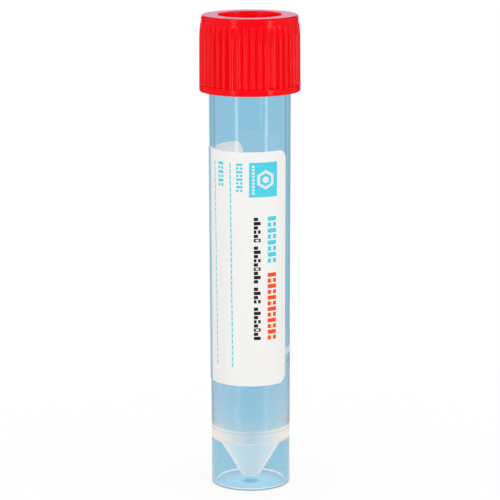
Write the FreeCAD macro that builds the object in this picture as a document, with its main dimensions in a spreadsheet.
"""Specimen transport tube with a screw cap, standing on the skirt round its conical bottom.

Millimetres, +Z up. The origin is the centre of the skirt's foot, on the surface it stands on,
and the middle of the label's front faces -Y. One sheet drives every sub-part.
"""
import FreeCAD, Part
import math
import os
import Sketcher

SIZES = {
    # tube: one moulding, with a skirt round a conical bottom
    "skirt_radius": 8.0,
    "skirt_height": 12.0,
    "skirt_wall": 0.95,
    "body_radius": 8.24,
    "wall": 1.1,
    "shoulder_height": 82.0,
    "neck_radius": 8.05,
    "neck_height": 82.3,
    "mouth_height": 94.3,
    "cone_height": 11.8,
    "cone_floor_height": 2.1,
    "cone_floor_radius": 1.2,
    "web_height": 9.8,
    "tip_height": 1.0,
    "tip_radius": 1.76,
    "foot_ease": 0.2,
    "mouth_ease": 0.25,
    "tip_round": 0.8,
    "web_ease": 0.4,
    # cap: ribbed shell with a flange at its foot, and a plug seal hollowed by the top recess
    "cap_foot_height": 81.15,
    "overall_height": 96.4,
    "crown_radius": 9.77,
    "shell_radius": 9.85,
    "flange_radius": 10.2,
    "flange_height": 82.6,
    "cap_bore_radius": 8.85,
    "cap_mouth_radius": 9.15,
    "cap_mouth_height": 82.15,
    "ceiling_height": 95.0,
    "plug_radius": 7.04,
    "plug_taper_height": 91.2,
    "plug_tip_radius": 6.6,
    "plug_tip_height": 90.0,
    "recess_radius": 6.4,
    "recess_floor_radius": 5.9,
    "recess_floor_height": 91.2,
    "crown_ease": 0.45,
    "recess_ease": 0.25,
    "flange_ease": 0.1,
    "rib_count": 42,
    "rib_circle_radius": 9.62,
    "rib_radius": 0.46,
    "rib_foot_height": 82.0,
    "rib_bend_height": 92.9,
    "rib_end_height": 95.2,
    "rib_sink": 0.36,
    "rib_turn": -86.6,
    # gasket: flat ring between the mouth and the cap's ceiling
    "gasket_inner_radius": 7.25,
    "gasket_outer_radius": 8.6,
    # label: paper wrapped round the tapered wall
    "label_foot_height": 22.05,
    "label_head_height": 69.9,
    "label_thickness": 0.1,
    "label_angle": 227.5,
    "label_turn": 101.5,
    "label_corner": 2.0,
    # transport medium: fills the cone and the foot of the bore
    "medium_height": 27.9,
    "meniscus_height": 27.4,
    "meniscus_reach": 0.7,
}

# the bore's radius where the cone starts, at the medium's edge and at the mouth
BORE_FOOT_RADIUS = "skirt_radius - wall"
BORE_MOUTH_RADIUS = "body_radius - wall"
MEDIUM_RADIUS = (
    "skirt_radius - wall + ( body_radius - skirt_radius )"
    " * ( medium_height - cone_height ) / ( mouth_height - cone_height )"
)


def wall_radius(height):
    """Formula for the tapered outside wall's radius at a height."""
    return (
        "skirt_radius + ( body_radius - skirt_radius )"
        " * ( " + height + " - skirt_height ) / ( shoulder_height - skirt_height )"
    )


def make_sheet(document):
    """Put every driving dimension in a cell of its own, with its name as the alias."""
    sheet = document.addObject("Spreadsheet::Sheet", "Dimensions")
    for row, (name, value) in enumerate(SIZES.items(), 1):
        sheet.set("A%d" % row, name)
        sheet.set("B%d" % row, str(value))
        sheet.setAlias("B%d" % row, name)
    document.recompute()
    return sheet


def bind(item, target, formula):
    """Drive a property or constraint by a formula of the sheet's names."""
    words = formula.split()
    item.setExpression(target, " ".join("Dimensions." + w if w in SIZES else w for w in words))


def make_body(document, label):
    body = document.addObject("PartDesign::Body", label)
    body.Label = label
    return body


def origin_feature(body, role):
    return next(item for item in body.Origin.OriginFeatures if item.Role == role)


def make_sketch(body, name):
    """A sketch on the body's own XZ plane: its X is the radius, its Y is the height."""
    sketch = body.newObject("Sketcher::SketchObject", name)
    sketch.AttachmentSupport = [(origin_feature(body, "XZ_Plane"), "")]
    sketch.MapMode = "FlatFace"
    return sketch


def hold(sketch, kind, edge, end, name, formula):
    """Tie one coordinate of an edge's end to a formula; 0 puts it on the sketch's axis."""
    if formula == "0":
        axis = -2 if kind == "DistanceX" else -1
        sketch.addConstraint(Sketcher.Constraint("PointOnObject", edge, end, axis))
        return
    row = sketch.addConstraint(Sketcher.Constraint(kind, -1, 1, edge, end, 1.0 + edge))
    sketch.renameConstraint(row, name)
    bind(sketch, "Constraints." + name, formula)


def hold_corner(sketch, edge, name, radius, height):
    """Tie the start of an edge to formulas for its radius and height."""
    hold(sketch, "DistanceX", edge, 1, name + "_radius", radius)
    hold(sketch, "DistanceY", edge, 1, name + "_height", height)


def outline(body, name, corners, drafted=()):
    """A closed outline of straight edges through named corners (name, radius, height).

    The edges that leave the drafted corners are straight splines, so that a long tapered
    face stays one light ruled face.
    """
    sketch = make_sketch(body, name)
    count = len(corners)
    turns = [2 * math.pi * step / count for step in range(count)]
    points = [FreeCAD.Vector(5 + math.cos(turn), 5 + math.sin(turn), 0) for turn in turns]
    for step, (corner, radius, height) in enumerate(corners):
        ends = [points[step], points[(step + 1) % count]]
        if corner in drafted:
            sketch.addGeometry(Part.BSplineCurve(ends, None, None, False, 1, None, False))
        else:
            sketch.addGeometry(Part.LineSegment(*ends))
    for step in range(count):
        sketch.addConstraint(Sketcher.Constraint("Coincident", step, 2, (step + 1) % count, 1))
    for step, (corner, radius, height) in enumerate(corners):
        hold_corner(sketch, step, corner, radius, height)
    return sketch


def revolve(body, name, sketch, angle=None):
    """Turn an outline about the vertical axis of its sketch."""
    feature = body.newObject("PartDesign::Revolution", name)
    feature.Profile = sketch
    feature.ReferenceAxis = (sketch, ["V_Axis"])
    feature.Angle = 360
    if angle:
        bind(feature, "Angle", angle)
    body.Document.recompute()
    return feature


def circles(body, *rims):
    """Names of the body's circular edges at the given (radius, height) rims."""
    names = []
    for number, edge in enumerate(body.Shape.Edges, 1):
        if not isinstance(edge.Curve, Part.Circle):
            continue
        for radius, height in rims:
            if math.hypot(edge.Curve.Radius - radius, edge.Curve.Center.z - height) < 0.02:
                names.append("Edge%d" % number)
    assert len(names) == len(rims), (body.Label, rims, names)
    return names


def soften(body, kind, name, size, *rims):
    """Fillet or Chamfer the body's circular edges at the given rims, by the sheet's size."""
    base = body.Tip
    edges = circles(body, *rims)
    feature = body.newObject("PartDesign::" + kind, name)
    feature.Base = (base, edges)
    bind(feature, {"Fillet": "Radius", "Chamfer": "Size"}[kind], size)
    body.Document.recompute()


def make_tube(document):
    """Tapered wall, neck, and a cone inside a skirt, turned from one section."""
    body = make_body(document, "tube")
    section = outline(body, "TubeSection", [
        ("tip_axis", "0", "tip_height"),
        ("tip", "tip_radius", "tip_height"),
        ("web", "skirt_radius - wall", "web_height"),
        ("foot_inside", "skirt_radius - skirt_wall", "0"),
        ("foot", "skirt_radius", "0"),
        ("skirt", "skirt_radius", "skirt_height"),
        ("shoulder", "body_radius", "shoulder_height"),
        ("neck", "neck_radius", "neck_height"),
        ("mouth", "neck_radius", "mouth_height"),
        ("mouth_inside", BORE_MOUTH_RADIUS, "mouth_height"),
        ("throat", BORE_FOOT_RADIUS, "cone_height"),
        ("cone_floor", "cone_floor_radius", "cone_floor_height"),
        ("floor_axis", "0", "cone_floor_height"),
    ], drafted=("web", "skirt", "mouth_inside"))
    revolve(body, "TubeWall", section)
    size = SIZES
    skirt = size["skirt_radius"]
    mouth = size["mouth_height"]
    soften(body, "Fillet", "TipRound", "tip_round", (size["tip_radius"], size["tip_height"]))
    soften(body, "Chamfer", "WebEase", "web_ease", (skirt - size["wall"], size["web_height"]))
    soften(
        body, "Chamfer", "FootEase", "foot_ease",
        (skirt, 0.0), (skirt - size["skirt_wall"], 0.0))
    soften(
        body, "Chamfer", "MouthEase", "mouth_ease",
        (size["neck_radius"], mouth), (size["body_radius"] - size["wall"], mouth))
    return body


def rib_section(body):
    """The rib's half-round section, flat side inwards, on a level plane at the rib's foot."""
    sketch = body.newObject("Sketcher::SketchObject", "RibSection")
    sketch.AttachmentSupport = [(origin_feature(body, "XY_Plane"), "")]
    sketch.MapMode = "FlatFace"
    bind(sketch, "AttachmentOffset.Base.z", "rib_foot_height")
    radius = SIZES["rib_radius"]
    centre = FreeCAD.Vector(SIZES["rib_circle_radius"], 0, 0)
    side = FreeCAD.Vector(0, radius, 0)
    circle = Part.Circle(centre, FreeCAD.Vector(0, 0, 1), radius)
    arc = sketch.addGeometry(Part.ArcOfCircle(circle, -math.pi / 2, math.pi / 2))
    back = sketch.addGeometry(Part.LineSegment(centre + side, centre - side))
    sketch.addConstraint(Sketcher.Constraint("Coincident", arc, 2, back, 1))
    sketch.addConstraint(Sketcher.Constraint("Coincident", back, 2, arc, 1))
    sketch.addConstraint(Sketcher.Constraint("PointOnObject", arc, 3, back))
    sketch.addConstraint(Sketcher.Constraint("Vertical", back))
    hold(sketch, "DistanceX", arc, 3, "rib_centre", "rib_circle_radius")
    hold(sketch, "DistanceY", arc, 3, "rib_middle", "0")
    row = sketch.addConstraint(Sketcher.Constraint("Radius", arc, radius))
    sketch.renameConstraint(row, "rib_size")
    bind(sketch, "Constraints.rib_size", "rib_radius")
    return sketch


def rib_path(body):
    """The rib runs straight up the shell, then leans in until it sinks into the shell."""
    sketch = make_sketch(body, "RibPath")
    circle = SIZES["rib_circle_radius"]
    foot = FreeCAD.Vector(circle, SIZES["rib_foot_height"], 0)
    bend = FreeCAD.Vector(circle, SIZES["rib_bend_height"], 0)
    end = FreeCAD.Vector(circle - SIZES["rib_sink"], SIZES["rib_end_height"], 0)
    upright = sketch.addGeometry(Part.LineSegment(foot, bend))
    lean = sketch.addGeometry(Part.LineSegment(bend, end))
    sketch.addConstraint(Sketcher.Constraint("Coincident", upright, 2, lean, 1))
    hold_corner(sketch, upright, "rib_foot", "rib_circle_radius", "rib_foot_height")
    hold_corner(sketch, lean, "rib_bend", "rib_circle_radius", "rib_bend_height")
    hold(sketch, "DistanceX", lean, 2, "rib_end_radius", "rib_circle_radius - rib_sink")
    hold(sketch, "DistanceY", lean, 2, "rib_end_height", "rib_end_height")
    return sketch


def make_rib(body):
    """One grip rib, swept along its path."""
    rib = body.newObject("PartDesign::AdditivePipe", "Rib")
    rib.Profile = rib_section(body)
    rib.Spine = rib_path(body)
    rib.Transition = "Right corner"
    body.Document.recompute()
    return rib


def make_cap(document):
    """Screw cap: shell, flange, ceiling and hollow plug from one section, then the ribs."""
    body = make_body(document, "cap")
    section = outline(body, "CapSection", [
        ("plug_axis", "0", "plug_tip_height"),
        ("plug_tip", "plug_tip_radius", "plug_tip_height"),
        ("plug_side", "plug_radius", "plug_taper_height"),
        ("plug_root", "plug_radius", "ceiling_height"),
        ("ceiling", "cap_bore_radius", "ceiling_height"),
        ("bore", "cap_bore_radius", "cap_mouth_height"),
        ("cap_mouth", "cap_mouth_radius", "cap_foot_height"),
        ("flange_foot", "flange_radius", "cap_foot_height"),
        ("flange_head", "flange_radius", "flange_height"),
        ("shell_foot", "shell_radius", "flange_height"),
        ("crown", "crown_radius", "overall_height"),
        ("recess", "recess_radius", "overall_height"),
        ("recess_floor", "recess_floor_radius", "recess_floor_height"),
        ("recess_axis", "0", "recess_floor_height"),
    ], drafted=("plug_tip",))
    revolve(body, "CapShell", section)
    size = SIZES
    top = size["overall_height"]
    flange = size["flange_radius"]
    soften(body, "Chamfer", "CrownEase", "crown_ease", (size["crown_radius"], top))
    soften(body, "Chamfer", "RecessEase", "recess_ease", (size["recess_radius"], top))
    soften(
        body, "Chamfer", "FlangeEase", "flange_ease",
        (flange, size["flange_height"]), (flange, size["cap_foot_height"]))
    rib = make_rib(body)
    ring = body.newObject("PartDesign::PolarPattern", "RibRing")
    ring.Originals = [rib]
    ring.Axis = (origin_feature(body, "Z_Axis"), [""])
    ring.Angle = 360
    bind(ring, "Occurrences", "rib_count")
    body.Tip = ring
    bind(body, "Placement.Rotation.Angle", "rib_turn")
    document.recompute()
    return body


def make_gasket(document):
    """Flat ring round the root of the plug, squeezed on the tube's mouth."""
    body = make_body(document, "seal_ring")
    section = outline(body, "GasketSection", [
        ("inner_foot", "gasket_inner_radius", "mouth_height"),
        ("outer_foot", "gasket_outer_radius", "mouth_height"),
        ("outer_head", "gasket_outer_radius", "ceiling_height"),
        ("inner_head", "gasket_inner_radius", "ceiling_height"),
    ])
    revolve(body, "Gasket", section)
    return body


def corner_loop(sketch, name, height, inward):
    """Outline of what a rounded corner leaves off; inward is 1 above a foot, -1 below a head."""
    reach = SIZES["label_corner"]
    level = SIZES[height]
    corner = FreeCAD.Vector(0, level, 0)
    along = FreeCAD.Vector(reach, level, 0)
    beside = FreeCAD.Vector(0, level + inward * reach, 0)
    centre = FreeCAD.Vector(reach, level + inward * reach, 0)
    circle = Part.Circle(centre, FreeCAD.Vector(0, 0, 1), reach)
    turns = (math.pi, 1.5 * math.pi) if inward > 0 else (0.5 * math.pi, math.pi)
    beside_end, along_end = (1, 2) if inward > 0 else (2, 1)
    edge = sketch.addGeometry(Part.LineSegment(corner, along))
    side = sketch.addGeometry(Part.LineSegment(beside, corner))
    arc = sketch.addGeometry(Part.ArcOfCircle(circle, *turns))
    sketch.addConstraint(Sketcher.Constraint("Coincident", side, 2, edge, 1))
    sketch.addConstraint(Sketcher.Constraint("Coincident", edge, 2, arc, along_end))
    sketch.addConstraint(Sketcher.Constraint("Coincident", side, 1, arc, beside_end))
    sketch.addConstraint(Sketcher.Constraint("Horizontal", edge))
    sketch.addConstraint(Sketcher.Constraint("Vertical", side))
    sketch.addConstraint(Sketcher.Constraint("Horizontal", arc, 3, arc, beside_end))
    sketch.addConstraint(Sketcher.Constraint("Vertical", arc, 3, arc, along_end))
    hold_corner(sketch, edge, name, "0", height)
    hold(sketch, "DistanceX", arc, 3, name + "_round", "label_corner")


def cut_corners(body, name, turn, outward):
    """Round both corners of one end of the wrap, square to the paper there."""
    volume = body.Shape.Volume
    sketch = body.newObject("Sketcher::SketchObject", name + "Outline")
    sketch.AttachmentSupport = [(origin_feature(body, "YZ_Plane"), "")]
    sketch.MapMode = "FlatFace"
    sketch.AttachmentOffset = FreeCAD.Placement(
        FreeCAD.Vector(), FreeCAD.Rotation(FreeCAD.Vector(0, 1, 0), 1))
    bind(sketch, "AttachmentOffset.Rotation.Angle", turn)
    corner_loop(sketch, "foot_corner", "label_foot_height", 1)
    corner_loop(sketch, "head_corner", "label_head_height", -1)
    pocket = body.newObject("PartDesign::Pocket", name)
    pocket.Profile = sketch
    pocket.Reversed = outward
    bind(pocket, "Length", "body_radius + wall")
    body.Document.recompute()
    assert body.Shape.Volume < volume, name


def make_label(document):
    """Paper wrapped part of the way round the taper, with its four corners rounded."""
    body = make_body(document, "label")
    low = "label_foot_height + label_corner"
    high = "label_head_height - label_corner"
    section = outline(body, "LabelSection", [
        ("foot_back", wall_radius("label_foot_height"), "label_foot_height"),
        ("foot_face", wall_radius("label_foot_height") + " + label_thickness", "label_foot_height"),
        ("low_face", wall_radius(low) + " + label_thickness", low),
        ("high_face", wall_radius(high) + " + label_thickness", high),
        ("head_face", wall_radius("label_head_height") + " + label_thickness", "label_head_height"),
        ("head_back", wall_radius("label_head_height"), "label_head_height"),
        ("high_back", wall_radius(high), high),
        ("low_back", wall_radius(low), low),
    ], drafted=("low_face", "high_back"))
    revolve(body, "Wrap", section, "label_angle")
    cut_corners(body, "FirstEnd", "0 * label_angle", True)
    cut_corners(body, "LastEnd", "label_angle + 180", False)
    bind(body, "Placement.Rotation.Angle", "label_turn")
    document.recompute()
    return body


def make_medium(document):
    """Clear liquid that fills the cone, with a shallow meniscus on top."""
    body = make_body(document, "transport_medium")
    section = outline(body, "MediumSection", [
        ("bottom_axis", "0", "cone_floor_height"),
        ("bottom", "cone_floor_radius", "cone_floor_height"),
        ("throat", BORE_FOOT_RADIUS, "cone_height"),
        ("edge", MEDIUM_RADIUS, "medium_height"),
        ("surface", MEDIUM_RADIUS + " - meniscus_reach", "meniscus_height"),
        ("surface_axis", "0", "meniscus_height"),
    ], drafted=("throat", "edge"))
    revolve(body, "Medium", section)
    return body


def check(document):
    """Stop if any object failed, or any sub-part's shape is missing, broken or not one solid."""
    for item in document.Objects:
        bad = [state for state in item.State if state in ("Invalid", "Error")]
        if bad:
            raise RuntimeError("%s is %s" % (item.Label, bad))
    for body in document.findObjects("PartDesign::Body"):
        shape = body.Shape
        if shape.isNull() or not shape.isValid() or len(shape.Solids) != 1:
            raise RuntimeError("%s has no valid single solid" % body.Label)


def main():
    document = FreeCAD.newDocument("SpecimenTube")
    make_sheet(document)
    makers = (make_tube, make_cap, make_gasket, make_label, make_medium)
    bodies = [make(document) for make in makers]
    document.recompute()
    check(document)
    os.makedirs("parts", exist_ok=True)
    for body in bodies:
        body.Shape.exportStep("parts/%s.step" % body.Label)
        box = body.Shape.BoundBox
        print("%-18s volume %8.1f mm3, z %.2f to %.2f" % (
            body.Label, body.Shape.Volume, box.ZMin, box.ZMax))


main()
